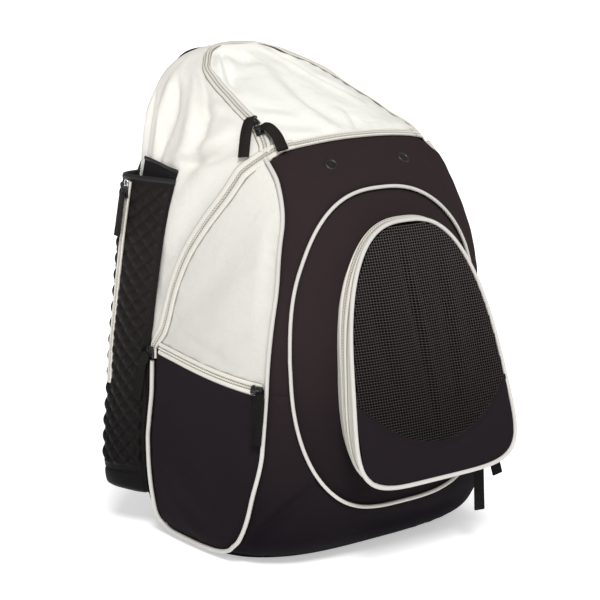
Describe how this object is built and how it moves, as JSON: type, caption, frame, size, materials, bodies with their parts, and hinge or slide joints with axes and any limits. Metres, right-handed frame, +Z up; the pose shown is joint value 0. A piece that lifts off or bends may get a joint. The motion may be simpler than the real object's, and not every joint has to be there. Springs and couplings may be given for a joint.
{
  "type": "bat backpack",
  "caption": "Tall sports backpack with sewn panels, a zipped lid, a domed front pocket with a net face, bat sleeves on both sides and padded straps",
  "frame": {"origin": "On the floor under the middle of the bag's flat base", "axes": "+Z up, -Y towards the front pocket, +Y towards the wearer's back, -X towards the wearer's left"},
  "size_m": [0.3938, 0.4276, 0.514],
  "materials": {
    "white_nylon": "fine woven nylon with a slight sheen",
    "black_polyester": "matte close-woven polyester",
    "quilted_cloth": "cloth embossed with small diamonds",
    "net": "open woven net over a dark backing",
    "padded_strap": "padded strap under matte woven cloth",
    "cream_trim": "off-white woven tape and piping",
    "webbing": "ribbed woven webbing",
    "moulded_plastic": "satin moulded plastic"
  },
  "bodies": {
    "root": {"top_lid": "white_nylon", "side_upper_left": "white_nylon", "side_upper_right": "white_nylon", "side_pocket_left": "white_nylon", "side_pocket_right": "white_nylon", "base_panel": "black_polyester", "back_panel": "black_polyester", "front_panel": "black_polyester", "front_insert": "black_polyester", "pocket_lower_face": "black_polyester", "lower_pocket_left": "black_polyester", "lower_pocket_right": "black_polyester", "rear_corner_left": "black_polyester", "rear_corner_right": "black_polyester", "bat_sleeve_left": "quilted_cloth", "bat_sleeve_right": "quilted_cloth", "pocket_mesh": "net", "shoulder_strap_left": "padded_strap", "shoulder_strap_right": "padded_strap", "pocket_gusset": "cream_trim", "insert_piping": "cream_trim", "pocket_piping": "cream_trim", "lid_zip": "cream_trim", "pocket_zip": "cream_trim", "side_piping_left": "cream_trim", "side_piping_right": "cream_trim", "side_zip_left": "cream_trim", "side_zip_right": "cream_trim", "lower_zip_left": "cream_trim", "lower_zip_right": "cream_trim", "sleeve_zip_left": "cream_trim", "sleeve_zip_right": "cream_trim", "haul_loop": "webbing", "lid_1_pull": "webbing", "lid_2_pull": "webbing", "pocket_1_pull": "webbing", "pocket_2_pull": "webbing", "strap_webbing_left": "webbing", "strap_webbing_right": "webbing", "side_pull_left": "webbing", "side_pull_right": "webbing", "lower_pull_left": "webbing", "lower_pull_right": "webbing", "sleeve_pull_left": "webbing", "sleeve_pull_right": "webbing", "lid_1_slider": "moulded_plastic", "lid_2_slider": "moulded_plastic", "pocket_1_slider": "moulded_plastic", "pocket_2_slider": "moulded_plastic", "grommet_left": "moulded_plastic", "grommet_right": "moulded_plastic", "side_slider_left": "moulded_plastic", "side_slider_right": "moulded_plastic", "lower_slider_left": "moulded_plastic", "lower_slider_right": "moulded_plastic", "sleeve_slider_left": "moulded_plastic", "sleeve_slider_right": "moulded_plastic", "strap_buckle_left": "moulded_plastic", "strap_buckle_right": "moulded_plastic"}
  },
  "joints": []
}
